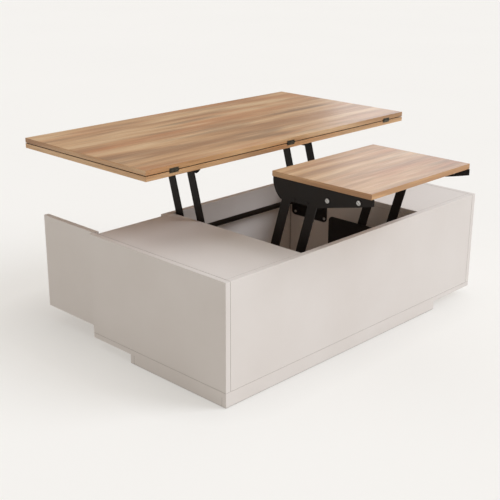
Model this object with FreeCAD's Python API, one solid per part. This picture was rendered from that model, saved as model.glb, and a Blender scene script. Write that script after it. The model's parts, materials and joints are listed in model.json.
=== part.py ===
import FreeCAD, Part
import math
import os

from FreeCAD import Vector

# Lift top coffee table: a low cabinet with two tops on parallelogram lifts.
# Millimetres. Origin: on the floor under the middle of the cabinet.
# +X to the right, +Y to the back, +Z up. Drawn with both tops raised and the left rear door open.

# ---- driving dimensions: cabinet ----
LENGTH = 1200.0            # cabinet along X
DEPTH = 580.0              # cabinet along Y
RIM_Z = 366.0              # top of the cabinet
GLIDE_H = 1.5              # nylon glide under the plinth
GLIDE_R = 7.5
GLIDE_INSET = 40.0         # outer glides from the plinth's ends
PLINTH_TOP = 30.0
PLINTH_LENGTH = 987.0      # flush with the left end, set back at the right
PLINTH_DEPTH = 404.0       # flush with the front, set back at the rear
RAIL_T = 16.0              # plinth rails, base and floor boards
BASE_TOP = 46.0
FLOOR_TOP = 62.0
BOARD_T = 18.0             # cabinet panels
WELL_HALF = 283.0          # half width of the open compartment
EDGE = 0.8                 # eased edge of every coated board
BLOCK_GAP = 0.8            # between each block top and its side panel
OVER = 1.0                 # how far a cutting tool or a hinge pin runs past a face

# ---- driving dimensions: rear doors ----
DOOR_W = 260.0
DOOR_BOTTOM = 54.0
DOOR_TOP = 363.0
DOOR_GAP = 2.0             # at both upright edges of a closed door
DOOR_PROUD = 0.3           # closed door's outer face behind the side panel's rear edge
HINGE_PIN_OUT = 3.2        # hinge pin behind the side panel's rear edge
DOOR_HINGE_H = 50.0
FLUSH_SCREW = dict(head_r=3.4, head_h=2.2, shank_r=1.6, length=12.0)

# ---- driving dimensions: tops ----
LARGE_W = 1186.0
LEAF_T = 15.0              # each leaf of the large top
LEAF_GAP = 2.0             # between the folded leaves
RIM_GAP = 2.0              # bumpers hold the closed top this far off the rim
SMALL_W = 478.0
SMALL_D = 360.0
SMALL_T = 16.0
SMALL_CLOSED_DROP = 4.9    # closed small top below the closed large top

# ---- driving dimensions: lifts ----
LINK_W = 32.0              # flat bar
LINK_T = 4.0
PLATE_T = 3.0
PIVOT_DEPTH = 30.0         # top pivots below the board they carry
PIN_R = 5.0
PIN_CLEAR = 0.05           # radial running clearance
TUBE_R = 9.0
TUBE_BORE = 6.5
SIDE_GAP = 0.3             # between faces that turn on each other
STOP_R = 5.0
STOP_REACH = 12.0          # from the lower pivot along the raised link
STUD_SHORT = 0.2           # the stop stud ends this far inside the link's outer face
BAR_BREAK = 0.6            # eased edge of the links
FLANGE_T = 2.5             # folded flanges and angles under the tops

LARGE_LIFT = dict(radius=250.0, lean=16.0, rest=8.0, lead_y=131.0, trail_y=235.0)
SMALL_LIFT = dict(radius=250.0, lean=16.0, rest=8.0, lead_y=-96.0, trail_y=-200.0)
LARGE_PLATE = dict(margin=28.0, bottom=245.0, above=20.0, corner=14.0)
SMALL_PLATE = dict(margin=30.0, rear_y=34.0, above=18.0, corner=16.0, foot=30.0)
LARGE_SIDE = dict(plate=280.0, lead=274.5, trail=268.5, bracket=260.0)
SMALL_SIDE = dict(plate=209.5, lead=215.5, trail=221.5, bracket=231.0)

# ---- driving dimensions: screws and bolts ----
SCREW_R = 2.2
SCREW_BITE = 12.0                    # how far a base plate's screw goes into the board
TOP_SCREW_L = 13.5
TOP_HEAD_H = 1.8                     # low heads under the tops
HEAD_BREAK = 0.7
WALL_SCREW_YS = (112.0, 178.5, 245.0)
WALL_SCREW_Z = 258.0
FOOT_SCREW_YS = (-210.0, -98.0, 14.0)
FOOT_SCREW_IN = 16.0                 # from the small base plate towards the middle
ANGLE_SCREW_IN = 16.0                # from the small bracket towards the middle
ANGLE_SCREW_YS = (48.0, 104.0, 160.0)
BOLT_R = 2.5
BOLT_HEAD_R = 7.2
BOLT_HEAD_H = 2.6
BOLT_SLOT_W = 1.6
BOLT_SLOT_DEPTH = 1.3
BOLT_TAIL = 4.8                      # behind the bracket's inner face
NUT_R = 5.0
NUT_T = 2.3
RIVET_HEAD_R = 5.0
RIVET_HEAD_H = 1.6

# ---- driving dimensions: fold hinges of the large top ----
FOLD_PLACES = (0.087, 0.5, 0.92)   # along the front edge
FOLD_L = 34.0
FOLD_H = 7.0
FOLD_T = 1.5
KNUCKLE_R = 3.2
FOLD_FIT = 0.3             # around a fold hinge in its recess

HALF_L = LENGTH / 2
HALF_D = DEPTH / 2
INNER_X = HALF_L - BOARD_T
WALL_OUT = WELL_HALF + BOARD_T
UNDER_TOP = RIM_Z - BOARD_T
BLOCK_BACK = HALF_D - BOARD_T      # rear of the block tops and inner walls
DOOR_EDGE = INNER_X - DOOR_GAP     # hinge edge of a closed door


def box(x0, x1, y0, y1, z0, z1):
    return Part.makeBox(x1 - x0, y1 - y0, z1 - z0, Vector(x0, y0, z0))


def board(x0, x1, y0, y1, z0, z1, flush_z=None):
    """A panel with its edges eased, apart from those at the height of a flush joint."""
    solid = box(x0, x1, y0, y1, z0, z1)
    eased = [e for e in solid.Edges if flush_z is None or abs(e.CenterOfMass.z - flush_z) > EDGE]
    return solid.makeChamfer(EDGE, eased)


def rod_x(x0, x1, y, z, r):
    return Part.makeCylinder(r, abs(x1 - x0), Vector(min(x0, x1), y, z), Vector(1, 0, 0))


def rod_z(x, y, z0, z1, r):
    return Part.makeCylinder(r, z1 - z0, Vector(x, y, z0), Vector(0, 0, 1))


def extrude_x(points, x0, x1):
    """A plate between x0 and x1 with a straight-sided (y, z) outline."""
    outline = Part.makePolygon([Vector(x0, y, z) for y, z in points + points[:1]])
    return Part.Face(outline).extrude(Vector(x1 - x0, 0, 0))


def round_x_edges(solid, radius, corners):
    """Round the edges along X that pass through the given (y, z) corners."""
    chosen = []
    for edge in solid.Edges:
        a, b = edge.Vertexes[0].Point, edge.Vertexes[-1].Point
        along_x = abs(a.y - b.y) < 1e-6 and abs(a.z - b.z) < 1e-6
        if along_x and any(math.hypot(a.y - y, a.z - z) < 0.01 for y, z in corners):
            chosen.append(edge)
    return solid.makeFillet(radius, chosen)


def mirrored(solid):
    return solid.mirror(Vector(0, 0, 0), Vector(1, 0, 0))


def save(name, *solids):
    shape = solids[0] if len(solids) == 1 else Part.makeCompound(list(solids))
    shape.exportStep("parts/" + name + ".step")


def save_pair(name, right):
    """Save a part for the right side and its mirror image for the left."""
    save(name + "_right", right)
    save(name + "_left", mirrored(right))


def pan_screw(x, y, z, axis, length, head_r=5.0, head_h=2.4):
    """A pan head screw. The axis points from the head into the work; the point given is under the head."""
    into = Vector(*axis)
    base = Vector(x, y, z)
    head = Part.makeCylinder(head_r, head_h, base, into * -1)
    rim = [e for e in head.Edges if (e.CenterOfMass - base).Length > head_h * 0.9]
    return head.makeChamfer(HEAD_BREAK, rim).fuse(Part.makeCylinder(SCREW_R, length, base, into))


def screw_hole(x, y, z, axis, length):
    return Part.makeCylinder(SCREW_R, length, Vector(x, y, z), Vector(*axis))


# ---------------------------------------------------------------- lift geometry
def lift_points(lift, direction):
    """Pivots of one lift. direction is the way the top moves as it rises: +1 back, -1 forward."""
    lean, radius = math.radians(lift["lean"]), lift["radius"]
    rest = math.radians(lift["rest"])
    up = (direction * math.sin(lean), math.cos(lean))
    return dict(
        up=up,
        behind=(direction * math.cos(lean), -math.sin(lean)),
        travel_y=direction * radius * (math.sin(lean) + math.cos(rest)),
        travel_z=radius * (math.cos(lean) - math.sin(rest)),
        span=(radius * up[0], radius * up[1]),
    )


LARGE = lift_points(LARGE_LIFT, 1)
SMALL = lift_points(SMALL_LIFT, -1)

LARGE_UNDER = RIM_Z + RIM_GAP + LARGE["travel_z"]
LARGE_FRONT = -HALF_D + LARGE["travel_y"]
SMALL_TOP = RIM_Z + RIM_GAP - SMALL_CLOSED_DROP + SMALL["travel_z"]
SMALL_UNDER = SMALL_TOP - SMALL_T
SMALL_FRONT = -476.0

LARGE["low_z"] = LARGE_UNDER - PIVOT_DEPTH - LARGE["span"][1]
SMALL["low_z"] = SMALL_UNDER - PIVOT_DEPTH - SMALL["span"][1]


# ---------------------------------------------------------------- cabinet boards
def plinth():
    x0, x1 = -HALF_L, -HALF_L + PLINTH_LENGTH
    y0, y1 = -HALF_D, -HALF_D + PLINTH_DEPTH
    z0, z1 = GLIDE_H, PLINTH_TOP
    y_in, y_out = y0 + RAIL_T, y1 - RAIL_T
    save("plinth_front_rail", board(x0, x1, y0, y_in, z0, z1, z1))
    save("plinth_rear_rail", board(x0, x1, y_out, y1, z0, z1, z1))
    save("plinth_left_rail", board(x0, x0 + RAIL_T, y_in, y_out, z0, z1, z1))
    save("plinth_right_rail", board(x1 - RAIL_T, x1, y_in, y_out, z0, z1, z1))
    save("plinth_cross_rail", board(-RAIL_T / 2, RAIL_T / 2, y_in, y_out, z0, z1, z1))
    places = [(x, y) for x in (x0 + GLIDE_INSET, 0, x1 - GLIDE_INSET)
              for y in (y0 + RAIL_T / 2, y1 - RAIL_T / 2)]
    glides = []
    for x, y in places + [(0, 0)]:
        pad = rod_z(x, y, 0, GLIDE_H, GLIDE_R)
        glides.append(pad.makeChamfer(EDGE, [e for e in pad.Edges if e.CenterOfMass.z < GLIDE_H / 2]))
    save("floor_glides", *glides)


def carcass():
    save("base_board", board(-HALF_L, HALF_L, -HALF_D, HALF_D, PLINTH_TOP, BASE_TOP, PLINTH_TOP))
    floor_board = board(-INNER_X, INNER_X, -HALF_D + BOARD_T, BLOCK_BACK, BASE_TOP, FLOOR_TOP)
    save("cabinet_floor", floor_board.cut(Part.makeCompound(foot_screws(screw_hole))))
    side = board(INNER_X, HALF_L, -HALF_D, HALF_D, BASE_TOP, RIM_Z)
    side = side.cut(Part.makeCompound(frame_hinge_screws()))
    save("right_side_panel", side)
    save("left_side_panel", mirrored(side))
    save("front_panel", board(-INNER_X, INNER_X, -HALF_D, -HALF_D + BOARD_T, BASE_TOP, RIM_Z))
    back = DOOR_EDGE - DOOR_W - DOOR_GAP
    save("back_panel", board(-back, back, BLOCK_BACK, HALF_D, BASE_TOP, RIM_Z))
    wall = board(WELL_HALF, WALL_OUT, -HALF_D + BOARD_T, BLOCK_BACK, FLOOR_TOP, UNDER_TOP)
    wall = wall.cut(Part.makeCompound(wall_screws(screw_hole)))
    save("right_inner_wall", wall)
    save("left_inner_wall", mirrored(wall))
    top = board(WELL_HALF, INNER_X - BLOCK_GAP, -HALF_D + BOARD_T, BLOCK_BACK, UNDER_TOP, RIM_Z)
    save("right_block_top", top)
    save("left_block_top", mirrored(top))


# ---------------------------------------------------------------- rear doors
PIN_X = INNER_X - DOOR_GAP / 2
PIN_Y = HALF_D + HINGE_PIN_OUT
HINGE_LEAF_T = 0.9
HINGE_REACH = 19.5                 # from the pin to the leaf's far edge
HINGE_ROOT = 1.5                   # from the pin to the leaf's near edge
BARREL_R = 3.0
HINGE_PIN_R = 1.6
HINGE_ZS = (112.0, 302.0)          # middles of the two hinges of a door
SCREW_Y = PIN_Y - 11.7
SCREW_DZ = (-17.0, 0.0, 17.0)


def flush_screw(x, y, z, way):
    """A countersunk screw flush with a face at x, driven along X. way is +1 or -1."""
    size, base, into = FLUSH_SCREW, Vector(x, y, z), Vector(way, 0, 0)
    head = Part.makeCone(size["head_r"], size["shank_r"], size["head_h"], base, into)
    return head.fuse(Part.makeCylinder(size["shank_r"], size["length"], base, into)).removeSplitter()


def hinge_screws(x, way):
    return [flush_screw(x, SCREW_Y, mid + dz, way) for mid in HINGE_ZS for dz in SCREW_DZ]


def frame_hinge_screws():
    return hinge_screws(INNER_X - HINGE_LEAF_T, 1)


def door_hinge_screws():
    return hinge_screws(DOOR_EDGE + HINGE_LEAF_T, -1)


def hinge_half(x0, mid, mine, other, inner_r):
    """One half of a butt hinge of the closed right door: a thin leaf and its share of the barrel."""
    z0 = mid - DOOR_HINGE_H / 2
    half = box(x0, x0 + HINGE_LEAF_T, PIN_Y - HINGE_REACH, PIN_Y - HINGE_ROOT, z0, z0 + DOOR_HINGE_H)
    for a, b in other:
        half = half.cut(rod_z(PIN_X, PIN_Y, a - SIDE_GAP, b + SIDE_GAP, BARREL_R + SIDE_GAP))
    for a, b in mine:
        half = half.fuse(rod_z(PIN_X, PIN_Y, a, b, BARREL_R))
    bore = rod_z(PIN_X, PIN_Y, z0 - OVER, z0 + DOOR_HINGE_H + OVER, inner_r)
    return half.removeSplitter().cut(bore)


def door_hinge(mid):
    """The frame half with its pin, and the door half, of one hinge of the closed right door."""
    third = DOOR_HINGE_H / 3
    z0, z1 = mid - DOOR_HINGE_H / 2, mid + DOOR_HINGE_H / 2
    outer = [(z0, z0 + third - SIDE_GAP), (z1 - third + SIDE_GAP, z1)]
    middle = [(z0 + third, z1 - third)]
    frame = hinge_half(INNER_X - HINGE_LEAF_T, mid, outer, middle, HINGE_PIN_R)
    frame = frame.fuse(rod_z(PIN_X, PIN_Y, z0 - OVER, z1 + OVER, HINGE_PIN_R)).removeSplitter()
    door = hinge_half(DOOR_EDGE, mid, middle, outer, HINGE_PIN_R + PIN_CLEAR)
    frame = frame.cut(Part.makeCompound(frame_hinge_screws()))
    return frame, door.cut(Part.makeCompound(door_hinge_screws()))


def opened(shape):
    """Swing a closed right door's part open, about its hinge pin."""
    out = shape.copy()
    out.rotate(Vector(PIN_X, PIN_Y, 0), Vector(0, 0, 1), -90)
    return out


def rear_doors():
    y0 = HALF_D - BOARD_T + DOOR_PROUD
    panel = board(DOOR_EDGE - DOOR_W, DOOR_EDGE, y0, y0 + BOARD_T, DOOR_BOTTOM, DOOR_TOP)
    panel = panel.cut(Part.makeCompound(door_hinge_screws()))
    frames, leaves = zip(*[door_hinge(mid) for mid in HINGE_ZS])
    moving = list(leaves) + door_hinge_screws()
    fixed = list(frames) + frame_hinge_screws()
    save("right_door", panel)
    save("left_door", mirrored(opened(panel)))
    save("right_door_hinge_leaves", *moving)
    save("left_door_hinge_leaves", *[mirrored(opened(piece)) for piece in moving])
    save("right_frame_hinge_leaves", *fixed)
    save("left_frame_hinge_leaves", *[mirrored(piece) for piece in fixed])


# ---------------------------------------------------------------- lift base plates
def wall_screws(make):
    """Screws, or their holes, through the large lift's right base plate into the inner wall."""
    x, length = LARGE_SIDE["plate"], PLATE_T + SCREW_BITE
    return [make(x, y, WALL_SCREW_Z, (1, 0, 0), length) for y in WALL_SCREW_YS]


def foot_screws(make):
    """Screws, or their holes, through both small base plates' feet into the cabinet floor."""
    x, length = SMALL_SIDE["plate"] - FOOT_SCREW_IN, PLATE_T + SCREW_BITE
    z = FLOOR_TOP + PLATE_T
    return [make(side * x, y, z, (0, 0, -1), length) for side in (1, -1) for y in FOOT_SCREW_YS]


def base_plates():
    size, low = LARGE_PLATE, LARGE["low_z"]
    y0, y1 = LARGE_LIFT["lead_y"] - size["margin"], LARGE_LIFT["trail_y"] + size["margin"]
    z0, z1 = size["bottom"], low + size["above"]
    corners = [(y0, z0), (y1, z0), (y1, z1), (y0, z1)]
    plate = extrude_x(corners, LARGE_SIDE["plate"], LARGE_SIDE["plate"] + PLATE_T)
    plate = round_x_edges(plate, size["corner"], corners)
    plate = plate.cut(Part.makeCompound(wall_screws(screw_hole)))
    save_pair("large_base_plate", plate)

    size, low = SMALL_PLATE, SMALL["low_z"]
    y0, y1 = SMALL_LIFT["trail_y"] - size["margin"], size["rear_y"]
    x0, x1 = SMALL_SIDE["plate"], SMALL_SIDE["plate"] + PLATE_T
    z0, z1 = FLOOR_TOP, low + size["above"]
    corners = [(y0, z0), (y1, z0), (y1, z1), (y0, z1)]
    plate = round_x_edges(extrude_x(corners, x0, x1), size["corner"], corners[2:])
    foot = box(x0 - size["foot"], x1, y0, y1, z0, z0 + PLATE_T)
    plate = plate.fuse(foot).removeSplitter()
    bearing = rod_x(x0 - OVER, x1 + OVER, SMALL_LIFT["trail_y"], low, TUBE_R + PIN_CLEAR)
    plate = plate.cut(bearing)
    plate = plate.cut(Part.makeCompound(foot_screws(screw_hole)))
    save_pair("small_base_plate", plate)

    screws = wall_screws(pan_screw)
    save("base_plate_screws", *screws, *[mirrored(s) for s in screws], *foot_screws(pan_screw))


def shouldered_pin(x_from, x_link, y, z, head_h, head_r=7.5, shoulder_r=7.5):
    """A pin that stands on a face at x_from and carries a link whose near face is at x_link."""
    way = 1 if x_link > x_from else -1
    near = x_link - way * SIDE_GAP
    far = x_link + way * (LINK_T + SIDE_GAP)
    pin = rod_x(x_from, near, y, z, shoulder_r)
    pin = pin.fuse(rod_x(near, far, y, z, PIN_R))
    return pin.fuse(rod_x(far, far + way * head_h, y, z, head_r)).removeSplitter()


def stop_stud(points, lift, x0, x1):
    """The stud that the raised leading link leans on."""
    reach = LINK_W / 2 + STOP_R + SIDE_GAP
    y = lift["lead_y"] + STOP_REACH * points["up"][0] + reach * points["behind"][0]
    z = points["low_z"] + STOP_REACH * points["up"][1] + reach * points["behind"][1]
    return rod_x(x0, x1, y, z, STOP_R)


def base_pins():
    """Lower pivot pins and stop studs, riveted to the base plates."""
    s, low = LARGE_SIDE, LARGE["low_z"]
    link_far = s["lead"] + LINK_T
    large_lead = shouldered_pin(s["plate"], link_far, LARGE_LIFT["lead_y"], low, 1.2)
    trail_far = s["trail"] + LINK_T
    inside_tube = TUBE_BORE - SIDE_GAP
    large_trail = shouldered_pin(s["plate"], trail_far, LARGE_LIFT["trail_y"], low, 2.0, head_r=inside_tube)
    large_stop = stop_stud(LARGE, LARGE_LIFT, s["lead"] + STUD_SHORT, s["plate"])
    s, low = SMALL_SIDE, SMALL["low_z"]
    small_lead = shouldered_pin(s["plate"] + PLATE_T, s["lead"], SMALL_LIFT["lead_y"], low, 1.2)
    small_stop = stop_stud(SMALL, SMALL_LIFT, s["plate"] + PLATE_T, s["lead"] + LINK_T - STUD_SHORT)
    pins = [large_lead, large_trail, large_stop, small_lead, small_stop]
    save("base_pivot_pins", *pins, *[mirrored(pin) for pin in pins])


# ---------------------------------------------------------------- links
def link_bar(points, y, x0, bore_low, bore_high):
    """A round-ended flat bar from a lower pivot at y to its upper pivot, with a bore at each end."""
    z = points["low_z"]
    length = math.hypot(*points["span"])
    bar = box(x0, x0 + LINK_T, -LINK_W / 2, LINK_W / 2, 0, length)
    bar = bar.fuse([rod_x(x0, x0 + LINK_T, 0, end, LINK_W / 2) for end in (0, length)]).removeSplitter()
    bar = bar.makeChamfer(BAR_BREAK, [e for e in bar.Edges if abs(e.BoundBox.XLength) < 1e-6])
    if bore_low:
        bar = bar.cut(rod_x(x0 - OVER, x0 + LINK_T + OVER, 0, 0, bore_low))
    bar = bar.cut(rod_x(x0 - OVER, x0 + LINK_T + OVER, 0, length, bore_high))
    lean = math.degrees(math.atan2(points["span"][0], points["span"][1]))
    bar.rotate(Vector(0, 0, 0), Vector(1, 0, 0), -lean)
    bar.translate(Vector(0, y, z))
    return bar


def torque_tube(reach, y, z):
    """The tube that joins the left and right trailing links at their lower pivots."""
    return rod_x(-reach, reach, y, z, TUBE_R).cut(rod_x(-reach, reach, y, z, TUBE_BORE))


def links():
    bore = PIN_R + PIN_CLEAR
    s, y = LARGE_SIDE, LARGE_LIFT
    save_pair("large_front_link", link_bar(LARGE, y["lead_y"], s["lead"], bore, bore))
    save_pair("large_rear_link", link_bar(LARGE, y["trail_y"], s["trail"], bore, bore))
    save("large_torque_tube", torque_tube(s["trail"], y["trail_y"], LARGE["low_z"]))
    s, y = SMALL_SIDE, SMALL_LIFT
    save_pair("small_rear_link", link_bar(SMALL, y["lead_y"], s["lead"], bore, bore))
    save_pair("small_front_link", link_bar(SMALL, y["trail_y"], s["trail"], 0, bore))
    save("small_torque_tube", torque_tube(s["trail"], y["trail_y"], SMALL["low_z"]))


# ---------------------------------------------------------------- brackets
BRACKET_LENGTH = 364.0
BRACKET_H = 64.0
LARGE_BRACKET_REACH = 207.0                          # its thin end behind the trailing pivot
LARGE_FLANGE_W = 19.0
BUMPER_R = 5.0
BUMPER_IN = (22.0, 40.0)                             # from the large top's ends and edges
BOLT_PLACES = ((155.0, 34.0), (46.0, 18.0))          # along the bracket from its thin end, and down
RIVET_PLACES = ((278.0, 57.0), (229.0, 57.0))


def bracket_plate(thin_end_y, way, under, x0):
    """The side plate under a top. It runs from its thin end along Y, way +1 or -1."""
    def at(along, down):
        return Vector(x0, thin_end_y + way * along, under - down)
    end = BRACKET_LENGTH
    curve = Part.Arc(at(end - 4, 0), at(end - 12, 40), at(end - 34, BRACKET_H)).toShape()
    corners = [at(end - 34, BRACKET_H), at(194, BRACKET_H), at(48, 31), at(19, 24), at(-4, 18), at(-4, 0)]
    corners.append(at(end - 4, 0))
    straight = [Part.makeLine(a, b) for a, b in zip(corners, corners[1:])]
    face = Part.Face(Part.Wire([curve] + straight))
    return face.extrude(Vector(PLATE_T, 0, 0))


def slotted_bolt(x, y, z):
    """A slotted head on the outside of a small bracket, with a flat nut inside."""
    face, tail = x + BOLT_HEAD_H, x - PLATE_T - BOLT_TAIL
    head = rod_x(x, face, y, z, BOLT_HEAD_R)
    head = head.makeChamfer(EDGE, [e for e in head.Edges if e.CenterOfMass.x > face - 0.1])
    half = BOLT_SLOT_W / 2
    slot = box(face - BOLT_SLOT_DEPTH, face + OVER, y - 8, y + 8, z - half, z + half)
    slot.rotate(Vector(x, y, z), Vector(1, 0, 0), 38)
    bolt = head.cut(slot).fuse(rod_x(tail, x, y, z, BOLT_R))
    return bolt.fuse(rod_x(tail, tail + NUT_T, y, z, NUT_R)).removeSplitter()


def small_top_assembly():
    s, under = SMALL_SIDE, SMALL_UNDER
    x0, x1 = s["bracket"], s["bracket"] + PLATE_T
    lead_y = SMALL_LIFT["lead_y"] + SMALL["span"][0]
    trail_y = SMALL_LIFT["trail_y"] + SMALL["span"][0]
    pivot_z = under - PIVOT_DEPTH
    screw_x, screw_z = x0 - ANGLE_SCREW_IN, under - FLANGE_T
    screw_ys = [SMALL_FRONT + y for y in ANGLE_SCREW_YS]

    holes = [screw_hole(screw_x, y, screw_z, (0, 0, 1), TOP_SCREW_L) for y in screw_ys]
    both_holes = Part.makeCompound(holes + [mirrored(hole) for hole in holes])
    top = box(-SMALL_W / 2, SMALL_W / 2, SMALL_FRONT, SMALL_FRONT + SMALL_D, under, SMALL_TOP)
    top = top.makeFillet(1.0, top.Edges)
    save("small_top", top.cut(both_holes))

    bolts = [(SMALL_FRONT + along, under - down) for along, down in BOLT_PLACES]
    rivets = [(SMALL_FRONT + along, under - down) for along, down in RIVET_PLACES]
    drilled = Part.makeCompound([rod_x(x0 - 5, x1 + 5, y, z, BOLT_R) for y, z in bolts + rivets])
    plate = bracket_plate(SMALL_FRONT, 1, under, x0).cut(drilled)
    save_pair("small_bracket", plate)

    y0, y1 = SMALL_FRONT + 30, SMALL_FRONT + 178
    leg = box(x0 - FLANGE_T, x0, y0, y1, under - 24, under)
    ear = box(x0 - FLANGE_T, x0, y0 + 95, y1, under - 46, under - 20)
    flange = box(x0 - 25 - FLANGE_T, x0, y0, y1, under - FLANGE_T, under)
    angle = leg.fuse([ear, flange]).removeSplitter().cut(drilled).cut(Part.makeCompound(holes))
    save_pair("small_bracket_angle", angle)

    painted = []
    for y, z in rivets:
        dome = rod_x(x1, x1 + RIVET_HEAD_H, y, z, RIVET_HEAD_R)
        dome = dome.makeChamfer(EDGE, [e for e in dome.Edges if e.CenterOfMass.x > x1 + RIVET_HEAD_H / 2])
        painted.append(dome.fuse(rod_x(x0, x1, y, z, BOLT_R)).removeSplitter())
    save("small_bracket_rivets", *painted, *[mirrored(rivet) for rivet in painted])
    fasteners = [slotted_bolt(x1, y, z) for y, z in bolts]
    fasteners += [pan_screw(screw_x, y, screw_z, (0, 0, 1), TOP_SCREW_L, head_h=TOP_HEAD_H)
                  for y in screw_ys]
    save("small_top_fasteners", *fasteners, *[mirrored(f) for f in fasteners])

    lead = shouldered_pin(x0, s["lead"] + LINK_T, lead_y, pivot_z, 1.6)
    trail = shouldered_pin(x0, s["trail"] + LINK_T, trail_y, pivot_z, 1.2)
    save("small_top_pins", lead, trail, mirrored(lead), mirrored(trail))


def large_top_assembly():
    s, under = LARGE_SIDE, LARGE_UNDER
    x0, x1 = s["bracket"], s["bracket"] + PLATE_T
    lead_y = LARGE_LIFT["lead_y"] + LARGE["span"][0]
    trail_y = LARGE_LIFT["trail_y"] + LARGE["span"][0]
    pivot_z = under - PIVOT_DEPTH
    plate_start = trail_y + LARGE_BRACKET_REACH
    flange_y = (plate_start - BRACKET_LENGTH + 20, plate_start - 10)
    screw_ys = [flange_y[0] + 20, (flange_y[0] + flange_y[1]) / 2, flange_y[1] - 20]
    screw_x, screw_z = x0 - LARGE_FLANGE_W / 2, under - FLANGE_T
    holes = [screw_hole(screw_x, y, screw_z, (0, 0, 1), TOP_SCREW_L) for y in screw_ys]
    both_holes = Part.makeCompound(holes + [mirrored(hole) for hole in holes])

    leaf = box(-LARGE_W / 2, LARGE_W / 2, LARGE_FRONT, LARGE_FRONT + DEPTH, under, under + LEAF_T)
    leaf = leaf.makeFillet(0.9, leaf.Edges)
    leaf = leaf.cut(both_holes).cut(Part.makeCompound([fold_pocket(x, -1) for x in fold_xs()]))
    save("lower_leaf", leaf)

    bumpers = []
    in_x, in_y = BUMPER_IN
    for x in (-LARGE_W / 2 + in_x, LARGE_W / 2 - in_x):
        for y in (LARGE_FRONT + in_y, LARGE_FRONT + DEPTH - in_y):
            dome = rod_z(x, y, under - RIM_GAP + SIDE_GAP, under, BUMPER_R)
            rim = [e for e in dome.Edges if e.CenterOfMass.z < under - 1]
            bumpers.append(dome.makeChamfer(EDGE, rim))
    save("leaf_bumpers", *bumpers)

    plate = bracket_plate(plate_start, -1, under, x0)
    flange = box(x0 - LARGE_FLANGE_W, x1, flange_y[0], flange_y[1], under - FLANGE_T, under)
    bracket = plate.fuse(flange).removeSplitter().cut(Part.makeCompound(holes))
    save_pair("large_bracket", bracket)
    screws = [pan_screw(screw_x, y, screw_z, (0, 0, 1), TOP_SCREW_L, head_h=TOP_HEAD_H) for y in screw_ys]
    save("large_bracket_screws", *screws, *[mirrored(screw) for screw in screws])

    lead = shouldered_pin(x1, s["lead"], lead_y, pivot_z, 1.4)
    trail = shouldered_pin(x1, s["trail"], trail_y, pivot_z, 1.2)
    save("large_top_pins", lead, trail, mirrored(lead), mirrored(trail))


# ---------------------------------------------------------------- folding leaf
FOLD_Y = LARGE_FRONT - 0.25
FOLD_Z = LARGE_UNDER + LEAF_T + LEAF_GAP / 2
FOLD_PIN_R = 1.4


def fold_xs():
    return [(place - 0.5) * LARGE_W for place in FOLD_PLACES]


def fold_pocket(x, side):
    """Recess in a leaf's front edge for one fold hinge. side -1: lower leaf, +1: upper leaf."""
    x0, x1 = x - FOLD_L / 2 - FOLD_FIT, x + FOLD_L / 2 + FOLD_FIT
    z0, z1 = sorted((FOLD_Z, FOLD_Z + side * (FOLD_H + FOLD_FIT)))
    mortise = box(x0, x1, FOLD_Y - OVER, FOLD_Y + FOLD_FIT + FOLD_T, z0, z1)
    return mortise.fuse(rod_x(x0, x1, FOLD_Y, FOLD_Z, KNUCKLE_R + 0.5))


def fold_half(x, side):
    """One half of a fold hinge: a plate let into the leaf's edge, and its share of the knuckle."""
    x0, third = x - FOLD_L / 2, FOLD_L / 3
    outer = [(x0, x0 + third - 0.2), (x0 + 2 * third + 0.2, x0 + FOLD_L)]
    middle = [(x0 + third, x0 + 2 * third)]
    mine, other = (outer, middle) if side < 0 else (middle, outer)
    z0, z1 = sorted((FOLD_Z, FOLD_Z + side * FOLD_H))
    half = box(x0, x0 + FOLD_L, FOLD_Y + FOLD_FIT, FOLD_Y + FOLD_FIT + FOLD_T, z0, z1)
    for a, b in other:
        half = half.cut(rod_x(a - 0.4, b + 0.4, FOLD_Y, FOLD_Z, KNUCKLE_R + FOLD_FIT))
    for a, b in mine:
        half = half.fuse(rod_x(a, b, FOLD_Y, FOLD_Z, KNUCKLE_R))
    clear = PIN_CLEAR if side > 0 else 0.0
    bore = rod_x(x0 - OVER, x0 + FOLD_L + OVER, FOLD_Y, FOLD_Z, FOLD_PIN_R + clear)
    return half.removeSplitter().cut(bore)


def folding_leaf():
    z0 = LARGE_UNDER + LEAF_T + LEAF_GAP
    leaf = box(-LARGE_W / 2, LARGE_W / 2, LARGE_FRONT, LARGE_FRONT + DEPTH, z0, z0 + LEAF_T)
    leaf = leaf.makeFillet(0.9, leaf.Edges)
    leaf = leaf.cut(Part.makeCompound([fold_pocket(x, 1) for x in fold_xs()]))
    save("upper_leaf", leaf)
    save("fold_hinges_lower", *[fold_half(x, -1) for x in fold_xs()])
    save("fold_hinges_upper", *[fold_half(x, 1) for x in fold_xs()])
    half = FOLD_L / 2
    save("fold_hinge_pins", *[rod_x(x - half, x + half, FOLD_Y, FOLD_Z, FOLD_PIN_R) for x in fold_xs()])


os.makedirs("parts", exist_ok=True)
plinth()
carcass()
rear_doors()
base_plates()
base_pins()
links()
large_top_assembly()
folding_leaf()
small_top_assembly()
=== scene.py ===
import json
import math

import bpy
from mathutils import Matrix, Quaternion, Vector


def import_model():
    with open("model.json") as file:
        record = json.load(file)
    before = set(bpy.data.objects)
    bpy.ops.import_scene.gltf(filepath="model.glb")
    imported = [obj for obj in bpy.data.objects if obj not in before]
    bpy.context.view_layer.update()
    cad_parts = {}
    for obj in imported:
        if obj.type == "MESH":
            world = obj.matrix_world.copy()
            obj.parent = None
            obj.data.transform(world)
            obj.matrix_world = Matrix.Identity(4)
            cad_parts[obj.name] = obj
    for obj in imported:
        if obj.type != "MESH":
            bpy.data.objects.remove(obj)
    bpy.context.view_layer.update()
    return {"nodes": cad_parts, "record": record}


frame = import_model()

# A low greige cabinet with a folded oak top and a small oak top, both raised on black lifts.
# Metres, in the frame of the CAD: origin on the floor under the middle, +X right, +Y back, +Z up.

NODES = frame["nodes"]

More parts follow.
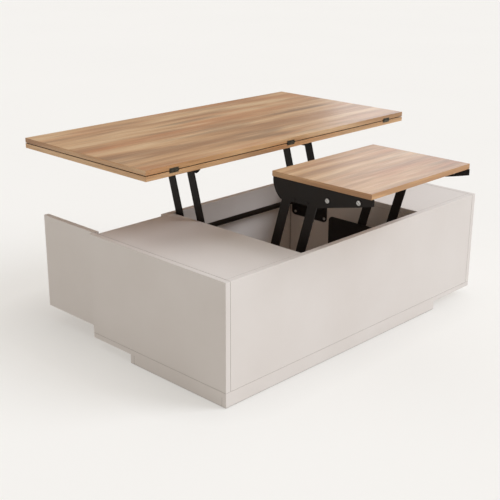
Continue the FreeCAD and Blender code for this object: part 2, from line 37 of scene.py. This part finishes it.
SEAM_REACH = 0.006         # how far the painted shade of a seam spreads on the boards
SEAM_SAMPLES = 8
BOARD_GLOSS = 0.35         # specular levels
OAK_GLOSS = 0.5
PAINT_GLOSS = 0.25
END_GRAIN = 0.75           # a face turned further than this towards X is an end edge


# ---------------------------------------------------------------- node helpers
class Graph:
    """The node tree of one material, with short names for what the materials here need."""

    def __init__(self, name):
        self.material = bpy.data.materials.new(name)
        self.material.use_nodes = True
        self.nodes = self.material.node_tree.nodes
        self.shader = self.nodes["Principled BSDF"]
        self.coords = self.nodes.new("ShaderNodeTexCoord")

    def link(self, source, target):
        self.material.node_tree.links.new(source, target)

    def feed(self, value, socket):
        """Link an output to a socket, or set the socket's own value."""
        if isinstance(value, bpy.types.NodeSocket):
            self.link(value, socket)
        else:
            socket.default_value = value

    def math(self, operation, a, b=0.0, clamp=False):
        node = self.nodes.new("ShaderNodeMath")
        node.operation = operation
        node.use_clamp = clamp
        self.feed(a, node.inputs[0])
        self.feed(b, node.inputs[1])
        return node.outputs[0]

    def stretched(self, scale, shift=(0, 0, 0), source=None):
        """Coordinates in the piece's own space, scaled along each axis."""
        node = self.nodes.new("ShaderNodeMapping")
        node.inputs["Scale"].default_value = scale
        node.inputs["Location"].default_value = shift
        self.link(source or self.coords.outputs["Object"], node.inputs["Vector"])
        return node.outputs[0]

    def noise(self, vector, scale=1.0, detail=2.0, roughness=0.5, distortion=0.0):
        node = self.nodes.new("ShaderNodeTexNoise")
        node.inputs["Scale"].default_value = scale
        node.inputs["Detail"].default_value = detail
        node.inputs["Roughness"].default_value = roughness
        node.inputs["Distortion"].default_value = distortion
        self.link(vector, node.inputs["Vector"])
        return node.outputs["Fac"]

    def ramp(self, factor, stops):
        """A colour ramp. Each stop is (place, colour), with a grey value allowed for a colour."""
        node = self.nodes.new("ShaderNodeValToRGB")
        elements = node.color_ramp.elements
        while len(elements) < len(stops):
            elements.new(0.5)
        for element, (place, colour) in zip(elements, stops):
            element.position = place
            rgb = (colour,) * 3 if isinstance(colour, float) else colour
            element.color = (*rgb, 1.0)
        self.link(factor, node.inputs["Fac"])
        return node.outputs["Color"]

    def mix(self, factor, a, b, blend="MIX"):
        node = self.nodes.new("ShaderNodeMix")
        node.data_type = "RGBA"
        node.blend_type = blend
        self.feed(factor, node.inputs[0])
        self.feed(a, node.inputs[6])
        self.feed(b, node.inputs[7])
        return node.outputs[2]

    def span(self, factor, low, high, start=0.0, end=1.0):
        """Map start..end of a factor to low..high."""
        node = self.nodes.new("ShaderNodeMapRange")
        node.inputs["From Min"].default_value = start
        node.inputs["From Max"].default_value = end
        node.inputs["To Min"].default_value = low
        node.inputs["To Max"].default_value = high
        self.link(factor, node.inputs["Value"])
        return node.outputs[0]

    def bump(self, height, strength, distance):
        node = self.nodes.new("ShaderNodeBump")
        node.inputs["Strength"].default_value = strength
        node.inputs["Distance"].default_value = distance
        self.link(height, node.inputs["Height"])
        self.link(node.outputs["Normal"], self.shader.inputs["Normal"])

    def paint_seam_shade(self, colour, dark):
        """Paint shade into a colour in narrow joints and inner corners, found by ambient occlusion."""
        seams = self.nodes.new("ShaderNodeAmbientOcclusion")
        seams.samples = SEAM_SAMPLES
        seams.inputs["Distance"].default_value = SEAM_REACH
        return self.mix(self.span(seams.outputs["AO"], 0.85, 0, 0.35, 0.95), colour, dark)

    def set(self, **values):
        """Feed the shader's inputs by name, with _ for a space."""
        for name, value in values.items():
            self.feed(value, self.shader.inputs[name.replace("_", " ")])


def linear(r, g, b):
    """An sRGB colour of 0..255 as linear values."""
    return tuple((c / 255 / 12.92) if c <= 10 else ((c / 255 + 0.055) / 1.055) ** 2.4 for c in (r, g, b))


# ---------------------------------------------------------------- materials
def coated_board():
    """Warm greige melamine: a faint mottled print, a fine pearl texture and painted shade in the seams.
    """
    g = Graph("coated_board")
    cloud = g.noise(g.stretched((3, 3, 3)), detail=4, roughness=0.55)
    grain = g.noise(g.stretched((900, 900, 900)), detail=2)
    tone = g.mix(g.span(cloud, 0, 1, 0.3, 0.7), (*linear(217, 209, 202), 1), (*linear(223, 216, 210), 1))
    speck = g.span(grain, 0.97, 1.03, 0.25, 0.75)
    fleck = g.mix(1.0, tone, speck, blend="MULTIPLY")
    # painted shade in the joints and inner corners, from ambient occlusion
    tone = g.paint_seam_shade(fleck, (*linear(108, 94, 82), 1))
    g.set(Base_Color=tone, Roughness=g.span(cloud, 0.5, 0.62, 0.3, 0.7))
    g.shader.inputs["Specular IOR Level"].default_value = BOARD_GLOSS
    g.bump(grain, 0.12, 0.0004)
    return g.material


def oak(name, shift):
    """Light oak with the grain along X, turned along Y on the two end edges, and painted shade in its
    seams.
    """
    g = Graph(name)
    split = g.nodes.new("ShaderNodeSeparateXYZ")
    g.link(g.coords.outputs["Object"], split.inputs[0])
    facing = g.nodes.new("ShaderNodeSeparateXYZ")
    g.link(g.coords.outputs["Normal"], facing.inputs[0])
    on_end = g.math("GREATER_THAN", g.math("ABSOLUTE", facing.outputs["X"]), END_GRAIN)
    swap = g.nodes.new("ShaderNodeCombineXYZ")
    g.link(split.outputs["Y"], swap.inputs["X"])
    g.link(split.outputs["X"], swap.inputs["Y"])
    g.link(split.outputs["Z"], swap.inputs["Z"])
    along = g.mix(on_end, g.coords.outputs["Object"], swap.outputs[0])
    place = g.stretched((1, 1, 1), shift, along)

    broad = g.noise(g.stretched((1.4, 13, 13), source=place), detail=3, roughness=0.5, distortion=0.3)
    streak = g.noise(g.stretched((2.2, 34, 34), source=place), detail=3, roughness=0.55, distortion=0.2)
    honey = g.noise(g.stretched((1.9, 14, 14), (7.7, 1.3, 0), place), detail=2, distortion=0.2)
    smoke = g.noise(g.stretched((1.7, 17, 17), (2.3, 8.1, 0), place), detail=2, distortion=0.2)
    fibre = g.noise(g.stretched((9, 420, 420), source=place), detail=3, roughness=0.6)
    pores = g.noise(g.stretched((40, 1500, 1500), source=place), detail=2)

    tone = g.ramp(broad, [
        (0.36, linear(168, 123, 82)), (0.46, linear(196, 150, 104)),
        (0.56, linear(209, 165, 117)), (0.66, linear(221, 185, 141))])
    tone = g.mix(g.span(streak, 0, 0.6, 0.5, 0.7), tone, (*linear(228, 194, 150), 1))
    tone = g.mix(g.span(streak, 0.6, 0, 0.3, 0.48), tone, (*linear(172, 122, 76), 1))
    tone = g.mix(g.span(honey, 0, 0.6, 0.54, 0.7), tone, (*linear(194, 124, 70), 1))
    tone = g.mix(g.span(smoke, 0, 0.7, 0.55, 0.72), tone, (*linear(132, 100, 70), 1))
    tone = g.mix(g.span(fibre, 0.35, 0, 0.3, 0.52), tone, (*linear(118, 84, 58), 1))
    pore_mask = g.span(pores, 1.0, 0, 0.2, 0.38)
    tone = g.mix(g.math("MULTIPLY", pore_mask, 0.4), tone, (*linear(92, 62, 42), 1))
    # painted shade in the joints and narrow gaps, from ambient occlusion
    tone = g.paint_seam_shade(tone, (*linear(52, 34, 22), 1))
    g.set(Base_Color=tone, Roughness=g.span(fibre, 0.36, 0.28, 0.3, 0.7))
    g.shader.inputs["Specular IOR Level"].default_value = OAK_GLOSS
    relief = g.math("SUBTRACT", fibre, g.math("MULTIPLY", pore_mask, 0.6))
    g.bump(relief, 0.18, 0.0005)
    return g.material


def black_steel():
    """Black powder coat: fine orange peel, in slightly uneven warm black."""
    g = Graph("black_steel")
    peel = g.noise(g.stretched((700, 700, 700)), detail=2)
    cloud = g.noise(g.stretched((14, 14, 14)), detail=4, roughness=0.6)
    tone = g.mix(g.span(cloud, 0, 1, 0.35, 0.75), (*linear(17, 11, 7), 1), (*linear(29, 21, 15), 1))
    g.set(Base_Color=tone, Roughness=g.span(cloud, 0.46, 0.58, 0.3, 0.7))
    g.shader.inputs["Specular IOR Level"].default_value = PAINT_GLOSS
    g.bump(peel, 0.25, 0.0004)
    return g.material


def plated_steel(name, dark, light, roughness):
    """Plated steel with brushed lines and dull patches."""
    g = Graph(name)
    brushed = g.noise(g.stretched((60, 60, 2500)), detail=3)
    cloud = g.noise(g.stretched((90, 90, 90)), detail=3)
    tone = g.mix(g.span(cloud, 0, 1, 0.3, 0.7), (*linear(*dark), 1), (*linear(*light), 1))
    g.set(Base_Color=tone, Roughness=g.span(brushed, roughness - 0.08, roughness + 0.08, 0.3, 0.7))
    g.shader.inputs["Metallic"].default_value = 1.0
    g.bump(brushed, 0.15, 0.0002)
    return g.material


def moulded(name, colour_a, colour_b, roughness):
    """Moulded nylon or rubber with a slightly uneven colour."""
    g = Graph(name)
    cloud = g.noise(g.stretched((120, 120, 120)), detail=3)
    tone = g.mix(cloud, (*linear(*colour_a), 1), (*linear(*colour_b), 1))
    g.set(Base_Color=tone, Roughness=g.span(cloud, roughness - 0.06, roughness + 0.06, 0.3, 0.7))
    g.bump(g.noise(g.stretched((1500, 1500, 1500))), 0.1, 0.0002)
    return g.material


SHARED = {
    "coated_board": coated_board(),
    "black_steel": black_steel(),
    "zinc_steel": plated_steel("zinc_steel", (168, 167, 164), (208, 207, 204), 0.36),
    "dull_steel": plated_steel("dull_steel", (84, 80, 70), (118, 113, 101), 0.5),
    "nylon": moulded("nylon", (214, 211, 204), (196, 192, 184), 0.45),
    "clear_rubber": moulded("clear_rubber", (205, 204, 198), (190, 188, 182), 0.55),
}
OAK = {
    "upper_leaf": oak("oak_upper_leaf", (0.0, 0.0, 0.0)),
    "lower_leaf": oak("oak_lower_leaf", (3.1, 1.7, 0.4)),
    "small_top": oak("oak_small_top", (5.3, 2.9, 1.1)),
}


def paint():
    """Give every CAD node the finish of its material slot. Each oak board has a cut of its own."""
    for part in frame["record"]["subparts"]:
        node = NODES[part["node"]]
        finish = OAK.get(part["node"]) or SHARED[part["material_slot"]]
        node.data.materials.clear()
        node.data.materials.append(finish)


paint()


# ---------------------------------------------------------------- floor, light, camera
FLOOR_RADIUS = 60.0
DOME_RADIUS = 55.0
PALE = linear(245, 243, 239)
WARM_SKY = (1.0, 0.94, 0.88, 1)
PAINTED_SHADOW_X = (-0.47, 0.36)     # the pool of painted shadow on the floor
PAINTED_SHADOW_Y = (-0.1, 0.5)
PAINTED_SHADOW_FADE = 0.32           # over which the pool's rim fades out
PAINTED_SHADOW_DIM = 0.69            # the floor's own light inside the pool, against outside it
SKY = 0.38
FLOOR_GLOW = 0.53          # about half the floor's light is its own, which keeps its shadows pale


def floor_glow(g):
    """The floor's own light, dimmed under and beside the object into a painted shadow."""
    split = g.nodes.new("ShaderNodeSeparateXYZ")
    g.link(g.coords.outputs["Object"], split.inputs[0])
    beyond = []
    for axis, (low, high) in (("X", PAINTED_SHADOW_X), ("Y", PAINTED_SHADOW_Y)):
        offset = g.math("ABSOLUTE", g.math("SUBTRACT", split.outputs[axis], (low + high) / 2))
        beyond.append(g.math("MAXIMUM", g.math("SUBTRACT", offset, (high - low) / 2), 0.0))
    squares = [g.math("MULTIPLY", part, part) for part in beyond]
    distance = g.math("SQRT", g.math("ADD", *squares))
    return g.span(distance, FLOOR_GLOW * PAINTED_SHADOW_DIM, FLOOR_GLOW, 0.0, PAINTED_SHADOW_FADE)


def floor():
    """A plain pale disc, half lit by the lamps and half by its own glow, which is dimmed into a painted
    shadow around the object.
    """
    g = Graph("pale_floor")
    cloud = g.noise(g.stretched((0.7, 0.7, 0.7)), detail=3)
    low, high = 0.49, 0.51
    tone = g.mix(cloud, (*[c * low for c in PALE], 1), (*[c * high for c in PALE], 1))
    g.set(Base_Color=tone, Roughness=0.9)
    g.shader.inputs["Specular IOR Level"].default_value = 0.0
    g.shader.inputs["Emission Color"].default_value = (*PALE, 1)
    # the glow, dimmed into a painted shadow near the object
    g.link(floor_glow(g), g.shader.inputs["Emission Strength"])
    bpy.ops.mesh.primitive_circle_add(vertices=96, radius=FLOOR_RADIUS, fill_type="NGON")
    disc = bpy.context.object
    disc.name = "studio_floor"
    disc.data.materials.append(g.material)
    return disc


def sun(name, azimuth, elevation, strength, spread, colour):
    """A soft distant light. Azimuth is measured from +X towards +Y, in degrees."""
    data = bpy.data.lights.new(name, "SUN")
    data.energy = strength
    data.angle = math.radians(spread)
    data.color = colour
    lamp = bpy.data.objects.new(name, data)
    bpy.context.scene.collection.objects.link(lamp)
    a, e = math.radians(azimuth), math.radians(elevation)
    towards = Vector((math.cos(e) * math.cos(a), math.cos(e) * math.sin(a), math.sin(e)))
    lamp.rotation_euler = towards.to_track_quat("Z", "Y").to_euler()
    return lamp


def window(name, place, aim, size, power, colour):
    """A bright panel beside the object, which only shows as a sheen on the tops."""
    data = bpy.data.lights.new(name, "AREA")
    data.shape = "RECTANGLE"
    data.size, data.size_y = size
    data.energy = power
    data.color = colour
    lamp = bpy.data.objects.new(name, data)
    lamp.location = place
    lamp.rotation_euler = (Vector(place) - Vector(aim)).to_track_quat("Z", "Y").to_euler()
    lamp.visible_camera = False
    lamp.visible_diffuse = False
    bpy.context.scene.collection.objects.link(lamp)
    return lamp


def world():
    """A dim warm sky, which only lights the object: the backdrop stands in front of it."""
    scene_world = bpy.data.worlds.new("studio")
    scene_world.use_nodes = True
    sky = scene_world.node_tree.nodes["Background"]
    sky.inputs["Color"].default_value = WARM_SKY
    sky.inputs["Strength"].default_value = SKY
    bpy.context.scene.world = scene_world


def backdrop():
    """A dome as pale as the floor, far behind everything. It gives no light and casts no shadow."""
    material = bpy.data.materials.new("pale_backdrop")
    material.use_nodes = True
    nodes = material.node_tree.nodes
    nodes.remove(nodes["Principled BSDF"])
    glow = nodes.new("ShaderNodeEmission")
    glow.inputs["Color"].default_value = (*PALE, 1)
    material.node_tree.links.new(glow.outputs[0], nodes["Material Output"].inputs["Surface"])
    bpy.ops.mesh.primitive_uv_sphere_add(segments=64, ring_count=32, radius=DOME_RADIUS)
    dome = bpy.context.object
    dome.name = "studio_backdrop"
    dome.data.materials.append(material)
    for kind in ("diffuse", "glossy", "transmission", "volume_scatter", "shadow"):
        setattr(dome, "visible_" + kind, False)
    return dome


EYE = (-2.2423, -1.9645, 1.2725)
YAW = 0.8025               # radians from +Y towards +X
PITCH = -0.3346
ROLL = 0.0051
LENS = 69.93
SENSOR = 36.0
CLIP_END = 200.0


def camera():
    """Front left, well above the raised tops, with a long lens."""
    data = bpy.data.cameras.new("camera")
    data.lens = LENS
    data.sensor_width = SENSOR
    data.clip_end = CLIP_END
    eye = bpy.data.objects.new("camera", data)
    eye.location = EYE
    level = math.cos(PITCH)
    ahead = Vector((math.sin(YAW) * level, math.cos(YAW) * level, math.sin(PITCH)))
    turn = ahead.to_track_quat("-Z", "Y")
    eye.rotation_mode = "QUATERNION"
    eye.rotation_quaternion = turn @ Quaternion((0, 0, 1), ROLL)
    bpy.context.scene.collection.objects.link(eye)
    bpy.context.scene.camera = eye


floor()
backdrop()
bpy.context.scene.view_settings.view_transform = "Standard"
key = sun("key", azimuth=-48, elevation=34, strength=1.9, spread=34, colour=(0.92, 0.97, 1.06))
key.visible_glossy = False     # its glare would wash out the tops seen from behind
sun("top", azimuth=60, elevation=78, strength=0.8, spread=70, colour=(1.0, 1.0, 1.0))
window("window", place=(5.65, 2.62, 1.95), aim=(0.3, 0.1, 0.6), size=(3.0, 2.1), power=27,
       colour=(0.88, 0.98, 1.12))
world()
camera()
